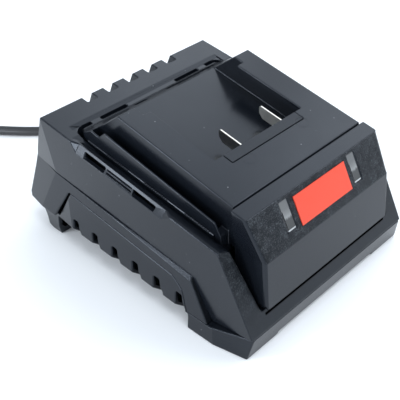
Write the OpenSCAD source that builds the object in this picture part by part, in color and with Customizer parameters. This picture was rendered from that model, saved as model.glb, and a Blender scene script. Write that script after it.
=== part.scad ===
// Desk battery charger with a tilted slide-in dock, mains lead and inner electronics.
// Millimetres. X across, front is -Y, Z up, feet on z = 0, centre of the footprint at the origin.

/* [Housing] */
// Width across the upper side walls
wall_w = 128; // [124:0.5:132]
// Length from the front apron to the bulge of the back wall
body_l = 178; // [174:0.5:182]
// Wall thickness of the two shells
shell_t = 2.6; // [2.2:0.1:3]
// Flare of the skirt below each side wall at ground level
skirt_flare = 5; // [4:0.25:6]
// Height of the top shoulder above the middle of the footprint
shoulder_h = 68.96; // [67:0.25:70]
/* [Dock] */
// Height of the dock deck above the middle of the footprint
deck_h = 90.53; // [89:0.25:92]
// Clear width between the two rail flanges
rail_gap_w = 66.6; // [64:0.2:68]
// Thickness of the rail flanges
rail_t = 4.5; // [3.5:0.1:5]
// Depth of the dock floor below the deck
floor_d = 16.2; // [15:0.1:17]
// Thickness of a terminal blade
blade_t = 0.8; // [0.6:0.05:1]
// Height of a terminal blade
blade_hgt = 7; // [6:0.25:8]
/* [Front cover] */
// Width of the badge
badge_w = 40.5; // [36:0.5:43]
// Height of the badge along the label face
badge_h = 15.5; // [13:0.25:17]
// Width of each status window
pipe_w = 5.5; // [4.5:0.1:6]
/* [Lead] */
// Diameter of the mains cord
cord_d = 6.3; // [5.8:0.1:6.8]
/* [Hidden] */
$fn = 48;
big = 400;
eps = 0.02;

// Shared planes and lines
wall_x = wall_w / 2;
front_y = -body_l / 2;
rear_y = body_l / 2;
shoulder_s = 0.176;
deck_s = 0.2345;
front_s = 0.4885;
apron_z = 13.7;
skirt_s = 0.1;
skirt_x = wall_x + skirt_flare;
ridge_s = 0.1457;

function shoulder_z(y) = shoulder_h + shoulder_s * y;
function deck_z(y) = deck_h + deck_s * y;
function front_at(z) = front_y + (z - apron_z) * front_s;
function ridge_z(y) = 40 + ridge_s * y;
function skirt_at(z) = skirt_x - skirt_s * z;

top_y = (front_y - apron_z * front_s + shoulder_h * front_s) / (1 - shoulder_s * front_s);
top_z = shoulder_z(top_y);
edge_y = rear_y - 24.4;
edge_z = shoulder_z(edge_y);
back_mid = [rear_y - 15.6, 62.5];
back_low = [rear_y - 7.3, 42];
back_bulge = [rear_y, 20.6];
back_part = [rear_y - 0.9, 17.2];

// Parting line between the shells, seen from the side
part_rear = [rear_y - 14, 16.4];
leg_low = [rear_y - 26.1, 15.6];
leg_top = [rear_y - 42, ridge_z(rear_y - 42) - 8.2];
part_mid = [front_y + 52, ridge_z(front_y + 52) - 7];
part_bend = [front_y + 45.2, 22.3];
part_drop = [front_y + 41.4, 10.2];
part_front = [front_y + 26, 10.1];
leg_gap = 1.5;

// Skirt front end
skirt_front_top = [front_y + 40, ridge_z(front_y + 40)];
skirt_front_low = [front_y + 26.4, 9.4];

// Well in the top and the ledge that carries the dock
well_x = wall_x - 7;
well_y = rear_y - 43;
well_r = 6.5;
ring_t = 2.2;
ledge_d = 11.4;
ledge_t = 2.6;
ledge_w = 3.6;
groove_step = 0.6;
groove_y = well_y - 4;

// Dock insert
slab_x = 50;
slab_front = front_y + 23.4;
slab_rear = rear_y - 75.3;
joint_w = 0.6;
insert_gap = 1.2;
insert_x = well_x - insert_gap;
insert_rear = well_y - 4.6;
insert_front = front_y + 27;
insert_r = 6;
lip_t = 1.2;
lip_d = 10.9;
lip_front = front_y + 30.4;
lip_end = [slab_rear + 5.5, deck_z(slab_rear + 5.5) - lip_d];
lip_foot = [lip_end[0] + 5.4, lip_end[1] - 4.3];
channel_d = deck_h - shoulder_h + 4.43;
plate_t = 2.6;
rail_x = rail_gap_w / 2;
under_x = rail_x + 4.7;
mouth_y = slab_rear - 6.5;
recess_front = slab_front + 27.3;
rim_y = insert_rear - 11;
rim_z = deck_z(rim_y) - floor_d;
rim_back_z = shoulder_z(insert_rear) - 0.4;
bar_x = 27.5;
bar_front = slab_front + 21;
bar_gap = 0.25;
pos_x = 21.5;
neg_x = -10.5;
blade_rear = slab_front + 46;
blade_drop = 4.4;
tail_y = slab_front + 23;
tail_w = 3;
tail_end = 27;

// Front cover
cover_x = 52.4;
cover_t = 2.4;
strip_y = front_y + 14.1;
strip_z = deck_z(strip_y);
brow = [front_y + 3.6, 51.6];
chin = [front_y + 1.8, 22.9];
chin_gap = 0.7;
label_len = norm([strip_y - brow[0], strip_z - brow[1]]);
label_deg = acos((strip_y - brow[0]) / label_len);
pipe_x = 26.8;
pipe_h = 15.5;
pipe_up = 2.2;
badge_up = 1.0;
badge_t = 0.9;
badge_in = 0.5;
pipe_in = 0.6;
led_len = 4;
led_board_t = 1.2;

// Inner parts
floor_z = 3;
floor_top = floor_z + 2.6;
board_z = floor_top + 6;
board_t = 1.6;
board_top = board_z + board_t;
board_x = 50;
board_y0 = front_y + 37;
board_y1 = rear_y - 39;
board_l = board_y1 - board_y0;
sink_l = board_l * 0.38;
sink_y = board_y1 - 12 - sink_l;
post_x = 44;
post_y = [board_y0 + 6, board_y1 - 6];
dock_post_y = [insert_front + 24, insert_rear - 11.4];
foot_y = [front_y + 40.4, rear_y - 25.6];
clamp_y = rear_y - 19;
front_boss = [56.2, front_y + 28];
rear_boss = [50, rear_y - 31.5];
front_joint_z = 20;
rear_joint_z = 24;
cord_x = 12;
cord_z = 18;
cord_r = cord_d / 2;
boot_in = rear_y - 6.5;
boot_out = rear_y + 36;

// Free cord, coil and plug, laid out for a rear edge at y = 89
lead_shift = [0, rear_y - 89, 0];
route = [
  [12, 125, 18], [12, 136, 16], [10, 148, 10], [5, 158, 5], [-2, 166, 3.3],
  [-11, 176, 3.3], [-20, 188, 3.3], [-28, 200, 3.3], [-36, 212, 3.3], [-43, 224, 3.3],
  [-51, 237, 3.4], [-59, 249, 3.7], [-66, 260, 3.9]
];
coil_c = [-22.9, 288.4];
coil_r = 36;
coil_lift = 0.8;
coil_pitch = cord_d - 0.1;
coil_rise = 5.4;
tail_route = [[-74.6, 289, 3.9], [-74.6, 300, 4], [-74.6, 310, 5.2], [-74.6, 321, 6.85]];
plug_at = [-74.6, 321, 6.85];

// Helpers
module half_space(p, n) {
  translate(p)
    rotate([0, acos(n[2] / norm(n)), atan2(n[1], n[0])])
      translate([-big, -big, 0])
        cube([2 * big, 2 * big, big]);
}
module plane3(a, b, c) {
  half_space(a, cross(b - a, c - a));
}
module both() {
  children();
  mirror([1, 0, 0])
    children();
}
module span(x0, x1, pts) {
  translate([x0, 0, 0])
    rotate([90, 0, 90])
      linear_extrude(x1 - x0)
        polygon(pts);
}
module across(half, pts) {
  span(-half, half, pts);
}
module box(lo, hi) {
  translate(lo)
    cube(hi - lo);
}
module plan_tub(x, y0, y1, r, z0, z1) {
  translate([0, 0, z0])
    linear_extrude(z1 - z0)
      union() {
        translate([-x, y0])
          square([2 * x, y1 - r - y0]);
        translate([-x + r, y0])
          square([2 * (x - r), y1 - y0]);
        for (s = [-1, 1])
          translate([s * (x - r), y1 - r])
            circle(r);
      }
}
module shoulder_band(lo, hi, y0 = -120, y1 = 120) {
  across(100, [
    [y0, shoulder_z(y0) + lo], [y1, shoulder_z(y1) + lo],
    [y1, shoulder_z(y1) + hi], [y0, shoulder_z(y0) + hi]
  ]);
}
module deck_band(x0, x1, y0, y1, lo, hi) {
  span(x0, x1, [
    [y0, deck_z(y0) + lo], [y1, deck_z(y1) + lo],
    [y1, deck_z(y1) + hi], [y0, deck_z(y0) + hi]
  ]);
}
module on_label() {
  translate([0, (strip_y + brow[0]) / 2, (strip_z + brow[1]) / 2])
    rotate([label_deg, 0, 0])
      children();
}

// Upper shell
module rear_facet_high() {
  half_space(
    [wall_x, edge_y, edge_z],
    [1, 0.1405, -0.0278]
  );
}
module rear_facet_low() {
  half_space(
    [skirt_at(16.6), rear_y - 14, 16.6],
    [1, 0.1405, 0.1777]
  );
}
module skirt_side(inset) {
  half_space([skirt_x - inset, 0, 0], [1, 0, skirt_s]);
}
module upper_outline() {
  difference() {
    across(wall_x, [
      [front_y, apron_z], [top_y, top_z], [edge_y, edge_z], back_mid, back_low,
      back_bulge, back_part, part_rear, leg_low, leg_top, part_mid, part_bend, part_drop,
      part_front
    ]);
    both()
      rear_facet_high();
  }
  difference() {
    across(wall_x + 10, [
      skirt_front_top, [rear_y - 20, 48.76], [rear_y - 9.5, 48.76], back_low, back_bulge,
      back_part, part_rear, leg_low, leg_top, part_mid, part_bend, part_drop,
      [skirt_front_low[0] + 0.5, 10.12]
    ]);
    both() {
      skirt_side(0);
      rear_facet_low();
      // sloping top of the skirt
      half_space([wall_x, 0, ridge_z(0)], [1, -ridge_s, 1]);
    }
  }
}
module upper_cavity() {
  lean = shell_t * 1.12;
  roof = shell_t * 1.02;
  thick = 7.8;
  difference() {
    union() {
      across(wall_x - shell_t, [
        [front_at(-5) + lean, -5], [front_at(top_z) + lean - 1, top_z - roof - 0.2],
        [edge_y - thick, shoulder_z(edge_y - thick) - roof], [back_mid[0] - thick, back_mid[1]],
        [back_low[0] - thick, back_low[1]], [back_bulge[0] - lean - 2.4, 30],
        [back_bulge[0] - lean - 1, -5]
      ]);
      both()
        span(39.5, wall_x - shell_t - 3.4, [
          [0, -5], [0, shoulder_z(0) - roof], [edge_y - lean, shoulder_z(edge_y - lean) - roof],
          back_mid - [lean, 0], back_low - [lean, 0], back_bulge - [lean, 0],
          [back_bulge[0] - lean, -5]
        ]);
      difference() {
        across(wall_x + 10, [
          skirt_front_top + [2, -4], [rear_y - 22, 44], [rear_y - 14, 40],
          [back_bulge[0] - lean - 2, 22], [back_bulge[0] - lean - 2, -5],
          [skirt_front_low[0] + 3, -5], [skirt_front_low[0] + 3, 9.4]
        ]);
        both() {
          skirt_side(shell_t);
          translate([-shell_t * 1.03, 0, 0])
            rear_facet_low();
        }
      }
    }
    intersection() {
      plan_tub(well_x + ring_t, -100, well_y + ring_t, well_r + ring_t, 20, 100);
      shoulder_band(-ledge_d - ledge_t, 5);
    }
    both() {
      translate([front_boss[0], front_boss[1], front_joint_z])
        cylinder(h = 60, r = 4);
      translate([rear_boss[0], rear_boss[1], rear_joint_z])
        cylinder(h = 70, r = 4);
      for (y = dock_post_y)
        intersection() {
          box([46, y - 5, 20], [57, y + 5, 100]);
          shoulder_band(-ledge_d - ledge_t, 5);
        }
    }
  }
}
module edge_pocket() {
  y0 = front_y + 57.4;
  y1 = rear_y - 55.3;
  a = [wall_x - 2.5, y1, shoulder_z(y1)];
  b = [wall_x, y1 + 5.2, shoulder_z(y1 + 5.2)];
  c = [wall_x, y1 + 1.6, shoulder_z(y1 + 1.6) - 5];
  d = [wall_x - 2.5, y0, shoulder_z(y0)];
  e = [wall_x, y0 - 4.8, shoulder_z(y0 - 4.8)];
  f = [wall_x, y0 + 1.5, shoulder_z(y0 + 1.5) - 5];
  intersection() {
    plane3(a, d, c);
    plane3(a, c, b);
    plane3(d, e, f);
  }
  for (y = [[y1 - 21.3, y1 - 5.3], [y0 + 7, y0 + 23]])
    intersection() {
      box([wall_x - 4, y[0], 40], [wall_x + 2, y[1], 90]);
      shoulder_band(-4.9, -1.7);
    }
  for (z = [-1.7, -3.4])
    intersection() {
      box([wall_x - 2.6, y0 + 24.2, 40], [wall_x + 2, y1 - 22.5, 90]);
      shoulder_band(z - 0.8, z);
    }
}
module well_slots() {
  for (s = [-1, 1])
    intersection() {
      box([s * 28.5 - 9.5, well_y - 3, 40], [s * 28.5 + 9.5, well_y - 0.6, 100]);
      shoulder_band(-8, 5);
    }
  both()
    intersection() {
      difference() {
        plan_tub(well_x - 0.3, well_y - 6, well_y - 0.4, well_r, 60, 90);
        plan_tub(well_x - 2.5, well_y - 16, well_y - 2.8, well_r - 2, 50, 100);
        box([-100, well_y - 16, 50], [44.5, well_y + 14, 100]);
        box([40, well_y - 26, 50], [70, well_y - 7.6, 100]);
      }
      shoulder_band(-8, 5);
    }
}
module castellations() {
  for (i = [-2:2])
    span(i * 15.5 - 3.4, i * 15.5 + 3.4, [
      [edge_y - 5.3, edge_z + 4], [edge_y - 5.3, edge_z - 6],
      [back_mid[0] - 4, back_mid[1]], [back_low[0] - 3, back_low[1]],
      [back_bulge[0] - 1.2, 27], [back_bulge[0] + 8, 25], [back_bulge[0] + 8, edge_z + 4]
    ]);
}
module well_roll() {
  // shoulder rolls down towards the well in three flats, fading out at the back
  intersection() {
    box([well_x - 1, front_y + 16, 40], [wall_x, groove_y, 100]);
    half_space([0, groove_y - 2, shoulder_z(groove_y - 2)], [0, -shoulder_s - 0.15, 1]);
    union() {
      half_space([well_x + 5.2, 0, shoulder_h], [-0.19, -shoulder_s, 1]);
      half_space([well_x + 3.6, 0, shoulder_h - 0.304], [-0.39, -shoulder_s, 1]);
      half_space([well_x + 1.9, 0, shoulder_h - 0.967], [-0.63, -shoulder_s, 1]);
    }
  }
}
module upper_shell() {
  color("dimgray")
    difference() {
      upper_outline();
      upper_cavity();
      both()
        well_roll();
      intersection() {
        plan_tub(well_x, insert_front - 1, groove_y, well_r - 2, 20, 120);
        shoulder_band(-ledge_d, 40);
      }
      // shallow dip behind the dock
      intersection() {
        plan_tub(well_x, insert_front - 1, well_y + 12, well_r, 20, 120);
        across(100, [
          [well_y - 20, shoulder_z(well_y - 20) - groove_step],
          [well_y - 0.6, shoulder_z(well_y - 0.6) - groove_step],
          [well_y + 2.6, shoulder_z(well_y + 2.6)],
          [well_y + 11, shoulder_z(well_y + 11) + 3], [well_y + 11, 120], [well_y - 20, 120]
        ]);
      }
      plan_tub(well_x - ledge_w, -70, groove_y - ledge_w, 4, 36, 120);
      both()
        for (y = dock_post_y)
          translate([50, y, 30])
            cylinder(h = 60, r = 1.7);
      well_slots();
      castellations();
      both()
        edge_pocket();
      // window that the front cover stands in
      translate([0, insert_front, 0])
        rotate([90, 0, 0])
          linear_extrude(60)
            polygon([
              [-well_x, 120], [-well_x, 57], [-cover_x + 0.2, chin[1]],
              [cover_x - 0.2, chin[1]], [well_x, 57], [well_x, 120]
            ]);
      both() {
        translate([front_boss[0], front_boss[1], 0])
          cylinder(h = front_joint_z + 16, r = 1.3);
        translate([rear_boss[0], rear_boss[1], 0])
          cylinder(h = rear_joint_z + 16, r = 1.3);
      }
      // seat of the cord grommet in the back wall
      translate([cord_x, rear_y - 20, cord_z])
        rotate([-90, 0, 0])
          cylinder(h = 40, r = 5);
    }
}

// Lower shell
module front_corner() {
  plane3(
    [skirt_x - 0.2, front_y + 22.4, 2], [skirt_x - 1.35, front_y + 23.7, 13.5],
    [wall_x + 0.1, front_y + 2, 7]
  );
}
module leg_back() {
  plane3(
    [skirt_x - 3.6, rear_y - 41, 36], [skirt_x - 1.8, rear_y - 42.5, 18],
    [skirt_x - 4.2, rear_y - 27, 14]
  );
}
module belly(inset) {
  // chamfer between the feet, deeper towards the back
  intersection() {
    half_space([wall_x - 5.75 - inset, 0, floor_z + inset], [1, 0.068, -1]);
    box([0, foot_y[0], -1], [100, foot_y[1], 40]);
  }
}
module lower_outline() {
  difference() {
    across(wall_x + 10, [
      [front_y, apron_z], part_front, part_drop, part_bend, part_mid,
      leg_top - [leg_gap, 0], leg_low - [leg_gap, 0], leg_low, part_rear, back_part,
      [rear_y - 3.6, 13], [rear_y - 6, 8.9], [rear_y - 9.6, 4.8], [rear_y - 11.6, 0],
      [front_y + 2.9, 0]
    ]);
    both() {
      skirt_side(0);
      rear_facet_low();
      // angled front corners
      front_corner();
      // side tucks in behind the rear leg
      leg_back();
      intersection() {
        half_space([wall_x + 0.2, 0, 0], [1, 0, -0.175]);
        box([0, rear_y - 28, -1], [100, rear_y + 11, 40]);
      }
      belly(0);
      box([0, foot_y[0], -1], [100, foot_y[1], floor_z]);
    }
    box([-41, front_y - 1, -1], [41, foot_y[0], 2]);
    box([-40, foot_y[1], -1], [40, rear_y, floor_z]);
  }
}
module lower_cavity() {
  difference() {
    across(wall_x + 10, [
      [front_y + 2.9 + shell_t, floor_top], [front_y + shell_t - 0.2, apron_z + 0.2],
      [front_y + shell_t + 10, 60], [rear_y - 8, 60], [rear_y - 3.6, 17.5],
      [rear_y - 6.4, 13], [rear_y - 9, 9.5], [rear_y - 12, floor_top]
    ]);
    both() {
      skirt_side(shell_t);
      translate([-shell_t * 1.03, 0, 0])
        rear_facet_low();
      translate([-shell_t, 0, 0])
        front_corner();
      translate([-shell_t, 0, 0])
        leg_back();
      intersection() {
        half_space([wall_x + 0.2 - shell_t, 0, 0], [1, 0, -0.175]);
        box([0, rear_y - 28, -1], [100, rear_y + 11, 40]);
      }
      belly(1.8);
      // closed ledge outside the pillar
      box([wall_x - shell_t, front_y, 0], [wall_x + 10, front_y + 34, 20]);
      for (y = post_y)
        translate([post_x, y, 0])
          cylinder(h = board_z, r = 3.5);
      translate([front_boss[0], front_boss[1], 0])
        cylinder(h = front_joint_z, r = 4);
      translate([rear_boss[0], rear_boss[1], 0])
        cylinder(h = rear_joint_z, r = 4);
    }
    box([cord_x - 12, clamp_y - 4, 0], [cord_x + 12, clamp_y + 4, cord_z]);
  }
}
module side_vents() {
  pitch = (body_l - 94) / 5;
  for (i = [0:5]) {
    y = front_y + 47.2 + i * pitch;
    z = 20.5 + 0.04 * y;
    span(58, 80, [
      [y + 2.2, 1], [y + 2.2, z], [y - 2, z - 0.3], [y - 2.4, z - 3.5], [y - 4.6, z - 7.5],
      [y - 5, z - 10], [y - 5, 1]
    ]);
  }
}
module lower_shell() {
  color("dimgray")
    difference() {
      lower_outline();
      lower_cavity();
      both() {
        side_vents();
        for (y = post_y)
          translate([post_x, y, floor_top])
            cylinder(h = 20, r = 1.3);
        for (b = [front_boss, rear_boss])
          translate([b[0], b[1], -1]) {
            cylinder(h = 60, r = 1.8);
            cylinder(h = 9, r = 3.4);
          }
      }
      for (x = [cord_x - 8.8, cord_x + 8.8])
        translate([x, clamp_y, cord_z - 10])
          cylinder(h = 20, r = 1.1);
      translate([cord_x, clamp_y - 10, cord_z])
        rotate([-90, 0, 0])
          cylinder(h = 18, r = cord_r);
      translate([cord_x, rear_y - 20, cord_z])
        rotate([-90, 0, 0])
          cylinder(h = 40, r = 5);
      // air slots in the floor
      for (i = [-3:3])
        box([-24, i * 8 - 1.5, 0], [24, i * 8 + 1.5, 8]);
    }
}

// Dock insert
module tub_profile() {
  across(insert_x + 5, [
    [insert_front, shoulder_z(insert_front) - ledge_d],
    [insert_rear, shoulder_z(insert_rear) - ledge_d],
    [insert_rear, rim_back_z], [rim_y, rim_z], [insert_front, deck_z(insert_front) - floor_d]
  ]);
}
module lips() {
  both()
    span(insert_x - lip_t, insert_x, [
      [insert_front, shoulder_z(insert_front) - 6], [rim_y + 4, shoulder_z(rim_y) - 6],
      [rim_y + 4, lip_foot[1] - 0.7], lip_foot, lip_end,
      [lip_front, deck_z(lip_front) - lip_d], [insert_front, shoulder_z(insert_front) + 1]
    ]);
}
module rail_wedge() {
  // lead-in ramps from the back of the deck down to the rim
  across(slab_x, [
    [slab_rear - 1, deck_z(slab_rear) - 1], [slab_rear, deck_z(slab_rear)], [rim_y, rim_z],
    [rim_y + 0.5, rim_z - 1], [rim_y + 0.5, shoulder_z(rim_y) - ledge_d + 1],
    [slab_rear - 1, shoulder_z(slab_rear) - ledge_d + 1]
  ]);
}
module dock_insert() {
  recess_top = 3;
  color("darkslategray")
    difference() {
      union() {
        intersection() {
          plan_tub(insert_x, insert_front, insert_rear, insert_r, 20, 120);
          union() {
            tub_profile();
            lips();
          }
        }
        deck_band(-slab_x, slab_x, slab_front, slab_rear, -24, 0);
        rail_wedge();
      }
      both() {
        deck_band(slab_x, insert_x - lip_t, lip_front + 1.2, rim_y, -channel_d, 20);
        deck_band(-1, rail_x, recess_front, rim_y + 1, -floor_d, 20);
        deck_band(-1, under_x, recess_front, rim_y, -floor_d, -rail_t);
        deck_band(-1, under_x, mouth_y, rim_y, -floor_d, 20);
        deck_band(-1, bar_x + bar_gap, bar_front - bar_gap, recess_front + 1, -floor_d, 20);
        // hollow underside
        deck_band(-1, under_x + 2.4, recess_front - 9.5, rim_y, -80, -floor_d - plate_t);
        span(under_x + 2.4, slab_x - 2.4, [
          [slab_front + 2.6, 20], [slab_front + 2.6, deck_z(slab_front + 2.6) - recess_top],
          [slab_rear - 2, deck_z(slab_rear - 2) - recess_top],
          [rim_y - 3, rim_z - recess_top], [rim_y - 3, 20]
        ]);
        deck_band(
          under_x + 2.4, slab_x - 2.4, slab_front + 2.6, insert_rear - 3, -80,
          -channel_d - plate_t
        );
        deck_band(
          slab_x - 2.4, insert_x - 2.4, insert_front + 2.6, insert_rear - 3, -80,
          -channel_d - plate_t
        );
        deck_band(-1, slab_x - 2.4, slab_front + 2.6, bar_front - 3, -80, -recess_top);
      }
      for (x = [pos_x, neg_x])
        box([x - 0.7, tail_y - 2, 20], [x + 0.7, tail_y + 2, 76]);
      // shallow pads sunk in the rim
      for (x = [[-17, -8], [7.6, 47]])
        span(x[0], x[1], [
          [insert_rear - 4, shoulder_z(insert_rear) + 0.3], [insert_rear - 4, 90],
          [insert_rear + 1, 90], [insert_rear + 1, shoulder_z(insert_rear) - 1.2]
        ]);
      // line between the deck and the front cover
      deck_band(-slab_x - 1, slab_x + 1, slab_front - 1, slab_front + joint_w, -1.6, 1);
    }
}
module terminal_block() {
  color("black")
    difference() {
      deck_band(-bar_x, bar_x, bar_front, recess_front - 0.3, -floor_d, 0);
      blade(pos_x);
      blade(neg_x);
    }
}
module blade(x) {
  top = -blade_drop;
  low = -blade_drop - blade_hgt;
  span(x - blade_t / 2, x + blade_t / 2, [
    [tail_y - 1, deck_z(tail_y - 1) + top],
    [blade_rear - 1.1, deck_z(blade_rear - 1.1) + top],
    [blade_rear, deck_z(blade_rear) + top - 1.1],
    [blade_rear, deck_z(blade_rear) + low + 2.4],
    [blade_rear - 2.4, deck_z(blade_rear - 2.4) + low],
    [tail_y + tail_w - 1, deck_z(tail_y + tail_w - 1) + low],
    [tail_y + tail_w - 1, deck_z(tail_y) - tail_end],
    [tail_y - 1, deck_z(tail_y) - tail_end]
  ]);
}
module positive_blade() {
  color("silver")
    blade(pos_x);
}
module negative_blade() {
  color("silver")
    blade(neg_x);
}
module output_leads() {
  color("red")
    for (x = [pos_x, neg_x])
      translate([x, tail_y + tail_w / 2 - 1, board_top])
        cylinder(h = deck_z(tail_y) - tail_end - board_top, r = 1.4);
}

// Front cover and what it carries
module front_cover() {
  color("darkslategray")
    difference() {
      intersection() {
        across(cover_x, [
          [slab_front, deck_z(slab_front)], [strip_y, strip_z], brow,
          chin + [0, chin_gap], chin + [1.3, chin_gap], chin + [1.3, 0],
          [front_at(chin[1]) + shell_t, chin[1]], [slab_front, 40]
        ]);
        translate([0, 20, 0])
          rotate([90, 0, 0])
            linear_extrude(140)
              polygon([
                [-cover_x, 90], [-cover_x, strip_z], [-50.4, brow[1]], [-51.2, 26],
                [-50.4, 24], [-48.2, chin[1]], [48.2, chin[1]], [50.4, 24], [51.2, 26],
                [50.4, brow[1]], [cover_x, strip_z], [cover_x, 90]
              ]);
      }
      across(cover_x - 4.4, [
        [slab_front + 1, deck_z(slab_front) - cover_t],
        [strip_y + 0.7, strip_z - cover_t - 0.2], [brow[0] + cover_t, brow[1] - 0.3],
        [chin[0] + cover_t, chin[1] + cover_t], [front_at(chin[1]) + shell_t + 1, chin[1] + cover_t],
        [slab_front + 1, 36]
      ]);
      on_label() {
        translate([-badge_w / 2, badge_up - badge_h / 2, -badge_in])
          cube([badge_w, badge_h, 5]);
        for (s = [-1, 1])
          translate([s * pipe_x - pipe_w / 2, pipe_up - pipe_h / 2, -8])
            cube([pipe_w, pipe_h, 20]);
      }
    }
  color("darkslategray")
    on_label()
      for (x = [-14, 14])
        translate([x, 0, -cover_t - led_len - 1])
          cylinder(h = led_len + 2.4, r = 2.5);
}
module badge() {
  color("red")
    on_label()
      translate([-badge_w / 2, badge_up - badge_h / 2, -badge_in])
        cube([badge_w, badge_h, badge_t]);
}
module light_pipe(s) {
  on_label()
    translate([s * pipe_x - pipe_w / 2, pipe_up - pipe_h / 2, -cover_t - 1])
      cube([pipe_w, pipe_h, cover_t + 1 - pipe_in]);
}
module light_pipe_left() {
  color("lightgray")
    light_pipe(-1);
}
module light_pipe_right() {
  color("lightgray")
    light_pipe(1);
}
module indicator_board() {
  color("darkgreen")
    on_label()
      translate([-34, -6, -cover_t - 1 - led_len - led_board_t])
        cube([68, 12, led_board_t]);
}
module status_leds() {
  color("lime")
    on_label()
      for (s = [-1, 1])
        translate([s * pipe_x, pipe_up, -cover_t - 1 - led_len])
          cylinder(h = led_len, r = 1.5);
}
module indicator_ribbon() {
  top_yz = [
    (strip_y + brow[0]) / 2 - 5 * cos(label_deg) + 8.6 * sin(label_deg),
    (strip_z + brow[1]) / 2 - 5 * sin(label_deg) - 8.6 * cos(label_deg)
  ];
  color("gray")
    across(6, [
      top_yz, top_yz + 3 * [cos(label_deg), sin(label_deg)], [board_y0 + 3, board_top],
      [board_y0 + 1.6, board_top]
    ]);
}

// Circuit board and its parts
module circuit_board() {
  color("darkgreen")
    difference() {
      box([-board_x, board_y0, board_z], [board_x, board_y1, board_top]);
      both()
        for (y = post_y)
          translate([post_x, y, board_z - 1])
            cylinder(h = 5, r = 1.6);
    }
}
module transformer_core() {
  color("dimgray")
    translate([0, -5, board_top])
      difference() {
        box([-20, -7.5, 0], [20, 7.5, 32]);
        both()
          box([6, -8, 5.2], [14, 8, 26.8]);
      }
}
module transformer_winding() {
  color("gold")
    translate([0, -5, board_top])
      difference() {
        intersection() {
          box([-14, -15.5, 5.2], [14, 15.5, 26.8]);
          cylinder(h = 40, r = 18.5);
        }
        box([-6, -7.5, 0], [6, 7.5, 40]);
        both()
          box([14, -7.5, 0], [20, 7.5, 40]);
      }
}
module transformer_rails() {
  color("black")
    translate([0, -5, board_top])
      for (s = [-1, 1])
        scale([1, s, 1])
          box([-13, 7.5, 0], [13, 14, 5.2]);
}
module bulk_capacitor() {
  color("navy")
    translate([34, board_y0 + 26, board_top])
      cylinder(h = 30, r = 11);
}
module output_capacitors() {
  color("navy")
    for (i = [0:2])
      translate([-38, board_y0 + board_l * (0.157 + i * 0.113), board_top])
        cylinder(h = 20, r = board_l * 0.049);
}
module mains_choke() {
  color("orange")
    translate([36, 10, board_top])
      rotate_extrude()
        polygon([[5, 1.2], [6.2, 0], [9.8, 0], [11, 1.2], [11, 10.8], [9.8, 12], [6.2, 12], [5, 10.8]]);
}
module suppression_capacitor() {
  color("yellow")
    translate([27, board_y1 - 20, board_top])
      cube([18, 8, 14]);
}
module mains_fuse() {
  color("white")
    translate([-8, board_y1 - 26, board_top + 3.2])
      rotate([-90, 0, 0])
        cylinder(h = 20, r = 2.5);
  color("silver")
    for (y = [board_y1 - 26, board_y1 - 11.5])
      difference() {
        box([-11, y, board_top], [-5, y + 5.5, board_top + 5]);
        translate([-8, y - 1, board_top + 3.2])
          rotate([-90, 0, 0])
            cylinder(h = 10, r = 2.5);
      }
}
module heat_sink() {
  color("silver")
    translate([0, sink_y, board_top]) {
      box([-36, 0, 0], [-33, sink_l, 32]);
      for (i = [0:5])
        translate([0, i * (sink_l - 1.8) / 5, 0])
          box([-46, 0, 0], [-33, 1.8, 32]);
    }
}
module power_devices() {
  color("black")
    for (y = [sink_y + sink_l * 0.27, sink_y + sink_l * 0.78]) {
      box([-33, y - 5, board_top + 8], [-28.5, y + 5, board_top + 24]);
      for (d = [-2.5, 0, 2.5])
        box([-31, y + d - 0.4, board_top], [-30.4, y + d + 0.4, board_top + 8]);
    }
}
module control_chip() {
  color("black")
    translate([-5, board_y0 + 9, board_top])
      cube([10, 6, 1.8]);
}
module mains_terminals() {
  color("green")
    translate([cord_x - 6, board_y1 - 9, board_top])
      cube([12, 8, 10]);
}
module mains_leads() {
  color("brown")
    for (s = [-1, 1])
      translate([cord_x + s * 1.6, board_y1 - 1, cord_z])
        rotate([-90, 0, 0])
          cylinder(h = 13, r = 1.1);
}
module inner_cord() {
  color("black")
    translate([cord_x, board_y1 + 12, cord_z])
      rotate([-90, 0, 0])
        cylinder(h = boot_in - board_y1 - 12, r = cord_r);
}
module cord_clamp() {
  color("dimgray")
    difference() {
      box([cord_x - 12, clamp_y - 4, cord_z], [cord_x + 12, clamp_y + 4, cord_z + 5.5]);
      translate([cord_x, clamp_y - 10, cord_z])
        rotate([-90, 0, 0])
          cylinder(h = 18, r = cord_r);
      for (x = [cord_x - 8.8, cord_x + 8.8])
        translate([x, clamp_y, cord_z - 10])
          cylinder(h = 20, r = 1.5);
    }
}
module screw(h, r, head_h, head_r) {
  translate([0, 0, -h])
    cylinder(h = h + eps, r = r);
  difference() {
    cylinder(h = head_h, r = head_r);
    for (a = [0, 90])
      rotate([0, 0, a])
        box([-head_r * 0.6, -0.5, head_h - 1], [head_r * 0.6, 0.5, head_h + 1]);
  }
}
module clamp_screws() {
  color("silver")
    for (x = [cord_x - 8.8, cord_x + 8.8])
      translate([x, clamp_y, cord_z + 5.5])
        screw(14, 1.1, 2, 2.4);
}
module board_screws() {
  color("silver")
    both()
      for (y = post_y)
        translate([post_x, y, board_top])
          screw(6, 1.3, 2, 2.8);
}
module housing_screws() {
  color("silver")
    both() {
      translate([front_boss[0], front_boss[1], 8])
        rotate([180, 0, 0])
          screw(22, 1.3, 2.2, 3);
      translate([rear_boss[0], rear_boss[1], 8])
        rotate([180, 0, 0])
          screw(26, 1.3, 2.2, 3);
    }
}
module dock_screws() {
  color("silver")
    both()
      for (y = dock_post_y)
        translate([50, y, shoulder_z(y) - ledge_d - ledge_t])
          rotate([atan(shoulder_s), 0, 0])
            rotate([180, 0, 0])
              screw(ledge_t, 1.3, 1.6, 2.6);
}

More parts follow.
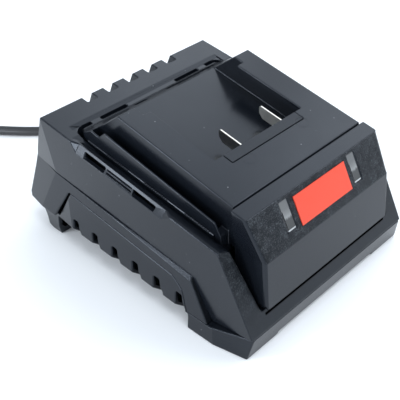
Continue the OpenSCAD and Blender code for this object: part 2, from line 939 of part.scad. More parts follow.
// Mains lead
function unit(v) = v / norm(v);
function heading(p, i) =
  unit(p[min(i + 1, len(p) - 1)] - p[max(i - 1, 0)]);
function side_of(d) = unit(cross(d, [0, 0, 1]));
function ring(p, i, r, n) = [
  for (k = [0:n - 1])
    let (d = heading(p, i), a = side_of(d), b = cross(a, d))
      p[i] + r * (cos(360 * (k + 0.5) / n) * a + sin(360 * (k + 0.5) / n) * b)
];
module tube(p, r, n = 10) {
  last = len(p) - 1;
  polyhedron(
    [for (i = [0:last]) each ring(p, i, r, n)],
    concat(
      [[for (k = [0:n - 1]) k]],
      [for (i = [0:last - 1], k = [0:n - 1])
        [i * n + k, (i + 1) * n + k, (i + 1) * n + (k + 1) % n, i * n + (k + 1) % n]],
      [[for (k = [n - 1:-1:0]) last * n + k]]
    )
  );
}
module strain_relief() {
  color("black")
    translate([cord_x, 0, cord_z])
      rotate([-90, 0, 0])
        rotate_extrude()
          polygon([
            [0, boot_in], [6.4, boot_in], [6.4, boot_in + 2], [5, boot_in + 2],
            [5, rear_y], [6.6, rear_y], [6.6, rear_y + 2.5], [5.4, rear_y + 3],
            [5.2, rear_y + 8], [4.6, rear_y + 8.6], [4.6, rear_y + 10], [5.1, rear_y + 10.6],
            [4.9, rear_y + 15], [4.3, rear_y + 15.6], [4.3, rear_y + 17], [4.7, rear_y + 17.6],
            [4.5, rear_y + 22], [4, rear_y + 22.6], [4, rear_y + 24], [4.4, rear_y + 24.6],
            [4.2, boot_out], [0, boot_out]
          ]);
}
module cord_tube() {
  color("black")
    translate(lead_shift) {
      tube(route, cord_r);
      tube(tail_route, cord_r);
    }
}
module coil_rings(grow = 0) {
  for (i = [-1.5:1.5])
    translate([coil_r + i * coil_pitch, 0])
      circle(cord_r + grow, $fn = 16);
  for (i = [-1:1])
    translate([coil_r + i * coil_pitch, coil_rise])
      circle(cord_r + grow, $fn = 16);
}
module cord_coil() {
  color("black")
    translate([coil_c[0], coil_c[1], coil_lift + cord_r] + lead_shift)
      rotate_extrude($fn = 64)
        coil_rings();
}
module cord_tie() {
  h = coil_lift + coil_rise + cord_d;
  reach = 1.5 * coil_pitch + cord_r;
  color("gray")
    translate([coil_c[0], coil_c[1], 0] + lead_shift)
      difference() {
        translate([0, -coil_r, 0])
          box([-5, -reach - 0.7, 0], [5, reach + 0.7, h + 0.9]);
        translate([0, -coil_r, 0])
          box([-6, -reach + 0.1, coil_lift], [6, reach - 0.1, h]);
        translate([0, 0, coil_lift + cord_r])
          rotate_extrude($fn = 64)
            coil_rings();
      }
}
module plug_body() {
  color("black")
    translate(plug_at + lead_shift) {
      translate([0, 38, 0])
        rotate([90, 0, 0])
          linear_extrude(24)
            union() {
              square([21.6, 13.7], center = true);
              for (s = [-1, 1])
                translate([s * 10.8, 0])
                  circle(6.85);
            }
      rotate([-90, 0, 0])
        cylinder(h = 14.5, r1 = 4, r2 = 6);
    }
}
module plug_pins() {
  color("silver")
    translate(plug_at + lead_shift)
      for (s = [-1, 1])
        translate([s * 9.3, 38, 0])
          rotate([-90, 0, 0])
            cylinder(h = 19, r = 2);
}

upper_shell();
lower_shell();
dock_insert();
front_cover();
terminal_block();
positive_blade();
negative_blade();
output_leads();
badge();
light_pipe_left();
light_pipe_right();
indicator_board();
status_leds();
indicator_ribbon();
circuit_board();
transformer_core();
transformer_winding();
transformer_rails();
bulk_capacitor();
output_capacitors();
mains_choke();
suppression_capacitor();
mains_fuse();
heat_sink();
power_devices();
control_chip();
mains_terminals();
mains_leads();
inner_cord();
cord_clamp();
clamp_screws();
board_screws();
housing_screws();
dock_screws();
strain_relief();
cord_tube();
cord_coil();
cord_tie();
plug_body();
plug_pins();
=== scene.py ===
import bpy, bmesh, math
from mathutils import Vector, Matrix
from mathutils.geometry import intersect_point_line


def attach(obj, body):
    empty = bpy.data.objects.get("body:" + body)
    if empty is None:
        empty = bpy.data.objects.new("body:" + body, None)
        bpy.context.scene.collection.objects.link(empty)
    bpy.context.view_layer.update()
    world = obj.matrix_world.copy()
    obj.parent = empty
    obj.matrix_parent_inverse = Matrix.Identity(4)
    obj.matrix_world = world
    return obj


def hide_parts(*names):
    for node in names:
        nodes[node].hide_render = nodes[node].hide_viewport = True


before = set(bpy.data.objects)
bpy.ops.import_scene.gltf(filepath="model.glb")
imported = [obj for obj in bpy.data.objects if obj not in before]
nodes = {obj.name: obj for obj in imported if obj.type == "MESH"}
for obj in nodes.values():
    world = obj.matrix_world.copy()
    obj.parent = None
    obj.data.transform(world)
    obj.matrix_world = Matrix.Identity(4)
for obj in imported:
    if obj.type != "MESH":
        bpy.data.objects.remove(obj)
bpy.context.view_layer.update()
scene = bpy.context.scene
mm = 0.001

# camera first
cameraLook = {
    "place": (-0.25659, -0.25900, 0.28865),
    "right": (0.698, -0.714, -0.044),
    "up": (0.449, 0.389, 0.804),
    "lens": 69.26,
    "sensor": 36,
    "near": 0.01,
    "far": 20,
}


def linked(name, data):  # a new object in the scene
    thing = bpy.data.objects.new(name, data)
    scene.collection.objects.link(thing)
    return thing


def makeCamera(look):
    data = bpy.data.cameras.new("camera")
    data.lens = look["lens"]
    data.sensor_width = look["sensor"]
    data.clip_start = look["near"]
    data.clip_end = look["far"]
    camera = linked("camera", data)
    right = Vector(look["right"]).normalized()
    back = right.cross(Vector(look["up"])).normalized()
    up = back.cross(right)
    turn = Matrix((right, up, back)).transposed().to_4x4()
    camera.matrix_world = Matrix.Translation(look["place"]) @ turn
    scene.camera = camera


makeCamera(cameraLook)
print("camera done")


# small helpers for node trees
def newMaterial(name):
    mat = bpy.data.materials.new(name)
    mat.use_nodes = True
    tree = mat.node_tree
    return mat, tree, tree.nodes["Principled BSDF"]


def addNode(tree, kind, **values):  # in_ names an input, the rest are the node's own settings
    node = tree.nodes.new(kind)
    for key, value in values.items():
        if key.startswith("in_"):
            slot = key[3:]
            node.inputs[int(slot) if slot.isdigit() else slot].default_value = value
        else:
            setattr(node, key, value)
    return node


def objectPlace(tree):
    return addNode(tree, "ShaderNodeTexCoord").outputs["Object"]


def noise(tree, place, scale, detail=2.0, rough=0.5):
    node = addNode(tree, "ShaderNodeTexNoise", in_Scale=scale, in_Detail=detail, in_Roughness=rough)
    tree.links.new(place, node.inputs["Vector"])
    return node.outputs["Fac"]


def stretched(tree, place, scale):  # the same place, drawn out into streaks
    node = addNode(tree, "ShaderNodeMapping", in_Scale=scale)
    tree.links.new(place, node.inputs["Vector"])
    return node.outputs["Vector"]


def axesOf(tree, place):
    node = addNode(tree, "ShaderNodeSeparateXYZ")
    tree.links.new(place, node.inputs[0])
    return node.outputs


def ramp(tree, value, stops):
    node = addNode(tree, "ShaderNodeValToRGB")
    band = node.color_ramp
    for element, (place, colour) in zip(band.elements, (stops[0], stops[-1])):
        element.position = place
        element.color = (*colour, 1)
    for place, colour in stops[1:-1]:
        band.elements.new(place).color = (*colour, 1)
    tree.links.new(value, node.inputs["Fac"])
    return node.outputs["Color"]


def cloudy(tree, value, colour, dark, light, low=0.3, high=0.7):  # a colour that wanders a little
    shades = [tuple(max(0.0, c * change) for c in colour) for change in (dark, light)]
    return ramp(tree, value, [(low, shades[0]), (high, shades[1])])


def spread(tree, value, toLow, toHigh, low=0.0, high=1.0):
    node = addNode(tree, "ShaderNodeMapRange")
    tree.links.new(value, node.inputs["Value"])
    for label, limit in zip(("From Min", "From Max", "To Min", "To Max"), (low, high, toLow, toHigh)):
        node.inputs[label].default_value = limit
    return node.outputs["Result"]


def bump(tree, height, strength, distance, below=None):
    node = addNode(tree, "ShaderNodeBump", in_Strength=strength, in_Distance=distance)
    tree.links.new(height, node.inputs["Height"])
    if below is not None:
        tree.links.new(below, node.inputs["Normal"])
    return node.outputs["Normal"]


def worked(tree, operation, first, second):  # sum, product and so on of two sockets or numbers
    node = addNode(tree, "ShaderNodeMath", operation=operation)
    for slot, value in enumerate((first, second)):
        if isinstance(value, bpy.types.NodeSocket):
            tree.links.new(value, node.inputs[slot])
        else:
            node.inputs[slot].default_value = value
    return node.outputs[0]


def product(tree, first, second):
    return worked(tree, "MULTIPLY", first, second)


def blended(tree, factor, first, colour):  # from a socket's colour to a plain colour
    node = addNode(tree, "ShaderNodeMix", data_type="RGBA")
    tree.links.new(factor, node.inputs["Factor"])
    tree.links.new(first, node.inputs["A"])
    node.inputs["B"].default_value = (*colour, 1)
    return node.outputs["Result"]


def tentMask(tree, value, centre, half, soft):  # one within half of the centre, falling to zero over soft
    off = worked(tree, "SUBTRACT", value, centre)
    far = addNode(tree, "ShaderNodeMath", operation="ABSOLUTE")
    tree.links.new(off, far.inputs[0])
    return spread(tree, far.outputs[0], 1.0, 0.0, half, half + soft)


def giveGloss(shader, look):
    shader.inputs["IOR"].default_value = look["ior"]
    shader.inputs["Specular Tint"].default_value = (*look["tint"], 1)


# materials
materials = {}
glossLook = {"ior": 1.40, "tint": (0.84, 0.90, 1.0)}
dustLook = {"cell": 190, "size": 0.06, "core": 0.6, "bare": 0.55, "colour": (0.35, 0.36, 0.37)}
mouldedLook = {
    "housing": {"colour": (0.0055, 0.0070, 0.0100), "rough": 0.22, "grain": 0.16, "specks": 0.6},
    "dock": {"colour": (0.0055, 0.0070, 0.0100), "rough": 0.22, "grain": 0.08, "specks": 0.8},
    "cover": {"colour": (0.0055, 0.0070, 0.0100), "rough": 0.24, "grain": 0.08, "specks": 0.5},
    "blackPart": {"colour": (0.0085, 0.0100, 0.0130), "rough": 0.42, "grain": 0.10, "specks": 0.1},
}
textureLook = {
    "cloud": 22, "dark": 0.9, "light": 1.12, "sheen": 60, "smoother": 0.03, "rougher": 0.05,
    "fine": 2600, "fineDepth": 0.00008, "broad": 300, "broadDepth": 0.0001, "broadShare": 0.3,
}


def mouldedPlastic(name, look):
    mat, tree, shader = newMaterial(name)
    place = objectPlace(tree)
    cloud = noise(tree, place, textureLook["cloud"], 3)
    colour = cloudy(tree, cloud, look["colour"], textureLook["dark"], textureLook["light"])
    dust = addNode(tree, "ShaderNodeTexVoronoi", in_Scale=dustLook["cell"])
    tree.links.new(place, dust.inputs["Vector"])
    core = dustLook["size"] * dustLook["core"]
    dots = ramp(tree, dust.outputs["Distance"], [(core, (1, 1, 1)), (dustLook["size"], (0, 0, 0))])
    pick = addNode(tree, "ShaderNodeSeparateColor")
    tree.links.new(dust.outputs["Color"], pick.inputs[0])
    chosen = spread(tree, pick.outputs[0], 0.0, look["specks"], dustLook["bare"])  # over half stay bare
    dusty = blended(tree, product(tree, dots, chosen), colour, dustLook["colour"])
    tree.links.new(dusty, shader.inputs["Base Color"])
    sheen = noise(tree, place, textureLook["sheen"], 2)
    smooth, coarse = look["rough"] - textureLook["smoother"], look["rough"] + textureLook["rougher"]
    tree.links.new(spread(tree, sheen, smooth, coarse), shader.inputs["Roughness"])
    fine = noise(tree, place, textureLook["fine"], 2, 0.6)
    broad = noise(tree, place, textureLook["broad"], 2)
    first = bump(tree, broad, look["grain"] * textureLook["broadShare"], textureLook["broadDepth"])
    both = bump(tree, fine, look["grain"], textureLook["fineDepth"], first)
    tree.links.new(both, shader.inputs["Normal"])
    giveGloss(shader, glossLook)
    return mat


for name, look in mouldedLook.items():
    materials[name] = mouldedPlastic(name, look)

grainLook = {
    "colour": (0.0030, 0.0040, 0.0056),
    "dark": 0.8,
    "light": 1.3,
    "shine": (0.66, 0.37),  # low on the piece, and above the fade
    "speck": (0.060, 0.066, 0.073),
    "speckFrom": 0.67,
    "speckTo": 0.87,
    "rough": 0.34,
    "cell": 1900,
    "cloud": 230,
    "cloudShare": 0.35,
    "bump": 0.9,
    "depth": 0.00022,
    "fadeFrom": 0.018,
    "fadeTo": 0.042,
    # painted shade: where the black band without shine sits along the cover's foot
    "footShade": {"height": 0.0206, "half": 0.00035, "soft": 0.0006, "reach": 0.0502, "tone": (0.0, 0.0, 0.0)},
}


def sparkGrain(name, look):  # coarse grain with bright specks, and a painted shadow: a dark line at the cover's foot
    mat, tree, shader = newMaterial(name)
    place = objectPlace(tree)
    axes = axesOf(tree, place)
    fade = spread(tree, axes["Z"], 0.0, 1.0, look["fadeFrom"], look["fadeTo"])
    grain = noise(tree, place, look["cell"], 2, 0.6)
    cloud = noise(tree, place, look["cloud"], 2)
    both = addNode(tree, "ShaderNodeMath", operation="MULTIPLY_ADD", in_1=look["cloudShare"])
    tree.links.new(cloud, both.inputs[0])
    tree.links.new(grain, both.inputs[2])
    stops = [(look["speckFrom"], (0, 0, 0)), (look["speckTo"], (1, 1, 1))]
    specks = ramp(tree, both.outputs[0], stops)
    base = cloudy(tree, cloud, look["colour"], look["dark"], look["light"])
    colour = blended(tree, product(tree, specks, fade), base, look["speck"])
    # painted shade: a black band with no shine along the cover's foot stands in for the shadow under the
    # cover's overhang
    footShade = look["footShade"]
    inside = tentMask(tree, axes["X"], 0.0, footShade["reach"], footShade["soft"])
    level = tentMask(tree, axes["Z"], footShade["height"], footShade["half"], footShade["soft"])
    dark = product(tree, inside, level)
    tree.links.new(blended(tree, dark, colour, footShade["tone"]), shader.inputs["Base Color"])
    clear = worked(tree, "SUBTRACT", 1.0, dark)
    shine = product(tree, clear, spread(tree, fade, *look["shine"]))
    tree.links.new(shine, shader.inputs["Specular IOR Level"])
    shader.inputs["Roughness"].default_value = look["rough"]
    shaped = bump(tree, product(tree, grain, fade), look["bump"], look["depth"])
    tree.links.new(shaped, shader.inputs["Normal"])
    giveGloss(shader, glossLook)
    return mat


materials["grain"] = sparkGrain("grain", grainLook)

windowLook = {
    # painted light up the window's height: a painted highlight on the lower lip, then darker and lighter
    # painted reflection bands
    "paintedLightTones": [
        (0.0, 0.5), (0.024, 0.5), (0.034, 0.06), (0.36, 0.07),
        (0.44, 0.26), (0.55, 0.20), (0.7, 0.15), (1.0, 0.14),
    ],
    "cool": (1.0, 1.02, 1.03),
    "rough": 0.22,
    "low": 0.0573,
    "high": 0.0712,
    "waveFrom": 0.12,
    "wave": 0.06,
    "streak": 900,
    "draw": (1, 0.04, 0.04),
    "bump": 0.15,
    "depth": 0.0001,
    # painted shadow: a thin dark line along one side of each window, running up from near its foot
    "edge": 0.02955,
    "apart": 0.0536,
    "line": 0.00035,
    "lineSoft": 0.0002,
    "lineTop": 0.0660,
    "lineLow": 0.0582,
    "endSoft": 0.0008,
    "shadowLineTone": (0.002, 0.002, 0.003),
}


def frostedWindowPaintedLight(name, look):  # clear grey plastic streaked up and down, with painted light: a painted highlight, painted reflection bands and a painted shadow line
    mat, tree, shader = newMaterial(name)
    place = objectPlace(tree)
    axes = axesOf(tree, place)
    height = spread(tree, axes["Z"], 0.0, 1.0, look["low"], look["high"])
    streaks = noise(tree, stretched(tree, place, look["draw"]), look["streak"], 2)
    wavy = worked(tree, "ADD", spread(tree, streaks, -look["wave"], look["wave"]), height)
    upper = worked(tree, "GREATER_THAN", height, look["waveFrom"])
    level = addNode(tree, "ShaderNodeMix", data_type="FLOAT")
    for label, value in (("Factor", upper), ("A", height), ("B", wavy)):
        tree.links.new(value, level.inputs[label])
    # painted highlight and painted reflection, as tones up the height
    stops = [(at, tuple(tone * c for c in look["cool"])) for at, tone in look["paintedLightTones"]]
    colour = ramp(tree, level.outputs["Result"], stops)
    shift = worked(tree, "ADD", axes["X"], look["edge"])
    wrapped = worked(tree, "MODULO", shift, look["apart"])  # the same painted shadow line in both windows
    side = tentMask(tree, wrapped, 0.0, look["line"], look["lineSoft"])
    middle = (look["lineTop"] + look["lineLow"]) / 2
    half = (look["lineTop"] - look["lineLow"]) / 2
    line = product(tree, side, tentMask(tree, axes["Z"], middle, half, look["endSoft"]))
    # the painted shadow line laid over the tones
    tree.links.new(blended(tree, line, colour, look["shadowLineTone"]), shader.inputs["Base Color"])
    shader.inputs["Roughness"].default_value = look["rough"]
    tree.links.new(bump(tree, streaks, look["bump"], look["depth"]), shader.inputs["Normal"])
    return mat


materials["window"] = frostedWindowPaintedLight("window", windowLook)

metalLook = {
    "blade": {"colour": (0.78, 0.75, 0.68), "rough": 0.28},
    "pins": {"colour": (0.80, 0.79, 0.77), "rough": 0.2},
    "screw": {"colour": (0.62, 0.62, 0.6), "rough": 0.33},
    "alloy": {"colour": (0.72, 0.73, 0.75), "rough": 0.4},
    "copper": {"colour": (0.72, 0.34, 0.16), "rough": 0.3},
}
brushLook = {
    "cloud": 160, "dark": 0.85, "draw": (1, 0.12, 1), "streak": 2400,
    "smoother": 0.06, "rougher": 0.12, "bump": 0.1, "depth": 0.00004,
}


def brushedMetal(name, look):
    mat, tree, shader = newMaterial(name)
    place = objectPlace(tree)
    cloud = noise(tree, place, brushLook["cloud"], 3)
    colour = cloudy(tree, cloud, look["colour"], brushLook["dark"], 1.0, 0.25, 0.75)
    tree.links.new(colour, shader.inputs["Base Color"])
    shader.inputs["Metallic"].default_value = 1.0
    lines = noise(tree, stretched(tree, place, brushLook["draw"]), brushLook["streak"], 2)
    smooth, coarse = look["rough"] - brushLook["smoother"], look["rough"] + brushLook["rougher"]
    tree.links.new(spread(tree, lines, smooth, coarse), shader.inputs["Roughness"])
    tree.links.new(bump(tree, lines, brushLook["bump"], brushLook["depth"]), shader.inputs["Normal"])
    return mat


for name, look in metalLook.items():
    materials[name] = brushedMetal(name, look)

plainLook = {
    "board": {"colour": (0.02, 0.14, 0.05), "rough": 0.35, "scale": 300},
    "ferrite": {"colour": (0.05, 0.05, 0.055), "rough": 0.6, "scale": 900},
    "winding": {"colour": (0.75, 0.52, 0.06), "rough": 0.4, "scale": 200},
    "can": {"colour": (0.02, 0.03, 0.12), "rough": 0.3, "scale": 250},
    "yellowCase": {"colour": (0.72, 0.50, 0.03), "rough": 0.35, "scale": 200},
    "greenPart": {"colour": (0.03, 0.22, 0.06), "rough": 0.4, "scale": 200},
    "redWire": {"colour": (0.35, 0.02, 0.015), "rough": 0.4, "scale": 400},
    "brownWire": {"colour": (0.12, 0.05, 0.03), "rough": 0.4, "scale": 400},
    "greyWire": {"colour": (0.25, 0.26, 0.27), "rough": 0.45, "scale": 400},
    "led": {"colour": (0.35, 0.6, 0.3), "rough": 0.15, "scale": 300},
    "tie": {"colour": (0.02, 0.02, 0.022), "rough": 0.6, "scale": 1200},
    "sheath": {
        "colour": (0.022, 0.023, 0.025), "rough": 0.38, "scale": 90, "light": 1.2,
        "fine": 1800, "bump": 0.12, "depth": 0.00006,
    },
    "badge": {
        "colour": (0.83, 0.066, 0.026), "rough": 0.32, "scale": 40, "detail": 2, "dark": 0.93, "light": 1.0,
        "fine": 900, "bump": 0.05, "depth": 0.00005, "sockets": {"Coat Weight": 0.3, "Coat Roughness": 0.2},
    },
    "fuse": {
        "colour": (0.85, 0.9, 0.9), "rough": 0.05, "scale": 200, "detail": 2, "dark": 0.9, "light": 1.0,
        "bump": 0, "sockets": {"Transmission Weight": 0.8},
    },
}
usualLook = {"detail": 3, "dark": 0.85, "light": 1.15, "bump": 0.08, "depth": 0.00008, "sockets": {}}


def plainFinish(name, look):
    look = {**usualLook, "fine": look["scale"] * 4, **look}
    mat, tree, shader = newMaterial(name)
    place = objectPlace(tree)
    cloud = noise(tree, place, look["scale"], look["detail"])
    colour = cloudy(tree, cloud, look["colour"], look["dark"], look["light"])
    tree.links.new(colour, shader.inputs["Base Color"])
    shader.inputs["Roughness"].default_value = look["rough"]
    if look["bump"]:
        fine = noise(tree, place, look["fine"], 2)
        tree.links.new(bump(tree, fine, look["bump"], look["depth"]), shader.inputs["Normal"])
    for socket, value in look["sockets"].items():
        shader.inputs[socket].default_value = value
    return mat


for name, look in plainLook.items():
    materials[name] = plainFinish(name, look)
print("materials done")

# cord: same points as the solids, route in millimetres
cordLook = {
    "diameter": 0.0063,
    "length": 1.8,
    "between": 3,
    "around": 6,
    "route": [
        (12, 125, 18), (12, 136, 16), (10, 148, 10), (5, 158, 5), (-2, 166, 3.3),
        (-11, 176, 3.3), (-20, 188, 3.3), (-28, 200, 3.3), (-36, 212, 3.3), (-43, 224, 3.3),
        (-51, 237, 3.4), (-58.4, 249.2, 3.7), (-64.65, 260.9, 3.95),
    ],
    "tail": [(-67.9, 296, 10.1), (-70.6, 304, 9.3), (-73.4, 312.5, 7.9), (-74.6, 321, 6.9)],
}
coilLook = {
    "centre": (-22.9, 288.4),
    "start": 213.4,
    "outer": 50.0,
    "step": 6.3,
    "lowerTurns": 4,
    "upperTurns": 3,
    "lastAngle": 33.4,
    "climb": 0.18,  # share of a turn in which the cord rises to the upper layer
    "lower": 3.95,
    "upper": 10.25,
    "perTurn": 28,
}


def between(a, b, c, d, t):  # point of a Catmull-Rom curve from b to c
    bend = 2 * a - 5 * b + 4 * c - d
    return 0.5 * (2 * b + (c - a) * t + bend * t * t + (3 * b - a - 3 * c + d) * t ** 3)


def smoothPath(points, pieces):
    pts = [Vector(p) for p in points]
    pts = [2 * pts[0] - pts[1]] + pts + [2 * pts[-1] - pts[-2]]
    path = []
    for i in range(1, len(pts) - 2):
        path += [between(*pts[i - 1:i + 3], k / pieces) for k in range(pieces)]
    return path + [pts[-2]]


def coilPath(look):  # inwards in the lower layer, outwards again in the upper one
    cx, cy = look["centre"]
    turns = look["lowerTurns"] + look["upperTurns"] + look["lastAngle"] / 360
    count = int(turns * look["perTurn"])
    inner = look["outer"] - look["step"] * look["lowerTurns"]
    path = []
    for i in range(1, count + 1):
        t = i / count * turns
        beyond = t - look["lowerTurns"]
        if beyond < 0:
            radius, rise = look["outer"] - look["step"] * t, 0.0
        else:
            radius, rise = inner + look["step"] * beyond, min(1.0, beyond / look["climb"])
        rise = rise * rise * (3 - 2 * rise)
        angle = math.radians(look["start"] - 360 * t)
        z = look["lower"] + (look["upper"] - look["lower"]) * rise
        path.append(Vector((cx + radius * math.cos(angle), cy + radius * math.sin(angle), z)))
    return path


def makeCord(look, coil):
    run = smoothPath(look["route"], look["between"])
    points = run + coilPath(coil) + [Vector(p) for p in look["tail"]]
    curve = bpy.data.curves.new("mains_cord", "CURVE")
    curve.dimensions = "3D"
    curve.bevel_depth = look["diameter"] / 2
    curve.bevel_resolution = look["around"]
    curve.use_fill_caps = True
    spline = curve.splines.new("POLY")
    spline.points.add(len(points) - 1)
    for point, place in zip(spline.points, points):
        point.co = (*(place * mm), 1)
    spline.use_smooth = True
    curve.materials.append(materials["sheath"])
    return linked("mains_cord", curve)


cord = makeCord(cordLook, coilLook)
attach(cord, "root")
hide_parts("cord_tube", "cord_coil")
print("cord done")

# floor and light
studioLook = {
    "floor": (0.94, 0.94, 0.94),
    "floorRough": 0.6,
    "floorHalf": 3.0,
    "sky": (0.90, 0.98, 1.07),
    "lampColour": (0.92, 0.985, 1.06),
    "world": 0.68,
    "lamps": {  # turn is from +X towards +Y, rise is above the horizon, both in degrees
        "frontHigh": {"turn": 255, "rise": 70, "size": 0.7, "power": 8},
        "front": {"turn": 315, "rise": 40, "size": 0.7, "power": 7},
        "right": {"turn": 0, "rise": 12, "size": 0.7, "power": 6},
        "rightHigh": {"turn": 0, "rise": 40, "size": 0.7, "power": 2.2},
        "backHigh": {"turn": 45, "rise": 40, "size": 0.7, "power": 1.6},
        "top": {"turn": 25, "rise": 50, "size": 0.9, "power": 2.2},
        "left": {"turn": 180, "rise": 12, "size": 0.7, "power": 4.5},
        "low": {"turn": 184, "rise": 3, "size": 0.3, "power": 3.6},
        "key": {"turn": 153.5, "rise": 39.5, "size": 0.25, "power": 3.5},
        "side": {"turn": 149, "rise": 6, "size": 0.4, "power": 5},
    },
    "reach": 1.5,
    "aim": (0, 0, 0.05),
}


def makeFloor(look):
    half = look["floorHalf"]
    corners = [(-half, -half, 0), (half, -half, 0), (half, half, 0), (-half, half, 0)]
    mesh = bpy.data.meshes.new("floor")
    mesh.from_pydata(corners, [], [(0, 1, 2, 3)])
    mat, _, shader = newMaterial("floor")
    shader.inputs["Base Color"].default_value = (*look["floor"], 1)
    shader.inputs["Roughness"].default_value = look["floorRough"]
    mesh.materials.append(mat)
    floor = linked("floor", mesh)


def makeLamp(name, lamp, look):
    data = bpy.data.lights.new(name, "AREA")
    data.shape = "SQUARE"
    data.size = lamp["size"]
    data.energy = lamp["power"]
    data.color = look["lampColour"]
    light = linked(name, data)
    light.visible_camera = False
    turn, rise = math.radians(lamp["turn"]), math.radians(lamp["rise"])
    level = math.cos(rise)
    way = Vector((level * math.cos(turn), level * math.sin(turn), math.sin(rise)))
    place = Vector(look["aim"]) + way * look["reach"]
    light.matrix_world = Matrix.Translation(place) @ way.to_track_quat("Z", "Y").to_matrix().to_4x4()


def makeStudio(look):
    makeFloor(look)
    world = bpy.data.worlds.new("studio")
    world.use_nodes = True
    sky = world.node_tree.nodes["Background"]
    sky.inputs["Color"].default_value = (*look["sky"], 1)
    sky.inputs["Strength"].default_value = look["world"]
    scene.world = world
    scene.view_settings.view_transform = "Standard"
    for name, lamp in look["lamps"].items():
        makeLamp(name, lamp, look)


makeStudio(studioLook)
print("studio done")

# rounded copies of the moulded shells, in millimetres and degrees unless a note says otherwise
edgeLook = {
    "upper_shell": {"width": 0.7, "material": "housing", "slot": "housing", "grained": (-0.8985, 0.4389)},
    "lower_shell": {"width": 0.7, "material": "housing", "slot": "housing"},
    "dock_insert": {"width": 0.6, "material": "dock", "slot": "dock"},
    "front_cover": {
        "width": 0.8, "material": "cover", "slot": "housing", "corner": 2.6, "grained": (-0.8975, 0.441),
    },
}
cornerLook = {"front": -66, "length": 9, "lean": 0.3, "sideways": 0.5}
roundLook = {
    "angle": 13,
    "full": 70,
    "flat": 3,
    "strip": 30,  # square millimetres
    "share": 0.42,
    "least": 0.06,
    "segments": 3,
    "samples": (0.05, 0.25, 0.5, 0.75, 0.95),
    "weld": 1e-6,  # metres
    "join": 0.6,
    "facing": 0.995,
    "widestHalf": 1.55,  # radians, so that the tangent stays finite
    "leastSine": 0.3,
    "far": 1.0,  # metres, wider than any piece
    "normalWeight": 100,
}


def isGrained(look, face):  # grained gives y and z of the normal of the rough face
    if "grained" not in look:
        return False
    y, z = look["grained"]
    return face.normal.y * y + face.normal.z * z > roundLook["facing"]


def isSharp(edge):
    return len(edge.link_faces) == 2 and edge.calc_face_angle(0) >= math.radians(roundLook["angle"])


def isCurved(edge):  # true between the narrow strips of a round wall, and across flat joints
    if len(edge.link_faces) != 2:
        return False
    angle = math.degrees(edge.calc_face_angle(0))
    narrow = max(f.calc_area() for f in edge.link_faces) < roundLook["strip"] * mm * mm
    return angle < (roundLook["angle"] if narrow else roundLook["flat"])


def roomAt(edge, vert):  # widest rounding that the neighbouring edges at this end leave free
    room = roundLook["far"]
    away = edge.other_vert(vert).co - vert.co
    for face in edge.link_faces:
        other = next(e for e in vert.link_edges if e is not edge and face in e.link_faces)
        side = other.other_vert(vert).co - vert.co
        angle = away.angle(side, math.pi)
        if isSharp(other):
            reach = min(away.length, side.length) * math.tan(min(angle / 2, roundLook["widestHalf"]))
        else:
            reach = side.length * max(math.sin(angle), roundLook["leastSine"])
        room = min(room, reach * roundLook["share"])
    return room


def roomAcross(edge):  # distance to the far edges of the two faces
    room = roundLook["far"]
    start, end = edge.verts[0].co, edge.verts[1].co
    samples = [start.lerp(end, share) for share in roundLook["samples"]]
    for face in edge.link_faces:
        for other in face.edges:
            if any(v in edge.verts for v in other.verts):
                continue
            a, b = other.verts[0].co, other.verts[1].co
            for point in samples:
                near, share = intersect_point_line(point, a, b)
                near = a.lerp(b, min(max(share, 0), 1))
                room = min(room, (point - near).length * roundLook["share"])
    return room


def isCorner(edge):  # upright outer edges of the front cover
    way = (edge.verts[1].co - edge.verts[0].co).normalized()
    sides = [abs(f.normal.x) > cornerLook["sideways"] for f in edge.link_faces]
    low = min(v.co.y for v in edge.verts) < cornerLook["front"] * mm
    tall = edge.calc_length() > cornerLook["length"] * mm
    return abs(way.x) < cornerLook["lean"] and any(sides) and not all(sides) and low and tall


def roundingOf(edge, look):  # zero where there is too little room
    room = min(roomAt(edge, edge.verts[0]), roomAt(edge, edge.verts[1]), roomAcross(edge)) / mm
    if room <= roundLook["least"]:
        return 0.0
    if "corner" in look and isCorner(edge):
        return min(look["corner"], room)
    share = min(1.0, math.degrees(edge.calc_face_angle(0)) / roundLook["full"])
    return min(look["width"] * share, room)


def roundEdges(piece, widest):
    soft = piece.modifiers.new("edges", "BEVEL")
    soft.width = widest * mm
    soft.segments = roundLook["segments"]
    soft.limit_method = "WEIGHT"
    soft.face_strength_mode = "FSTR_ALL"
    soft.use_clamp_overlap = False
    soft.miter_outer = "MITER_ARC"
    flat = piece.modifiers.new("flat faces", "WEIGHTED_NORMAL")  # the large faces keep their own shading
    flat.mode = "FACE_AREA"
    flat.weight = roundLook["normalWeight"]
    flat.keep_sharp = True
    flat.use_face_influence = True


def softCopy(nodeName, look):
    mesh = nodes[nodeName].data.copy()
    mesh.name = nodeName + "_moulding"
    bm = bmesh.new()
    bm.from_mesh(mesh)
    bmesh.ops.remove_doubles(bm, verts=bm.verts, dist=roundLook["weld"])
    join = math.radians(roundLook["join"])
    bmesh.ops.dissolve_limit(bm, angle_limit=join, verts=bm.verts, edges=bm.edges)
    weights = bm.edges.layers.float.new("bevel_weight_edge")
    widest = look.get("corner", look["width"])
    for face in bm.faces:
        face.smooth = True
        face.material_index = int(isGrained(look, face))
    for edge in bm.edges:
        edge.smooth = isCurved(edge)
        if isSharp(edge):
            edge[weights] = roundingOf(edge, look) / widest
    mesh.materials.clear()
    mesh.materials.append(materials[look["material"]])
    mesh.materials.append(materials["grain"])
    bm.to_mesh(mesh)
    bm.free()
    piece = linked(nodeName + "_moulding", mesh)
    roundEdges(piece, widest)
    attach(piece, "root")
    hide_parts(nodeName)


for name, look in edgeLook.items():
    softCopy(name, look)
print("shells done")

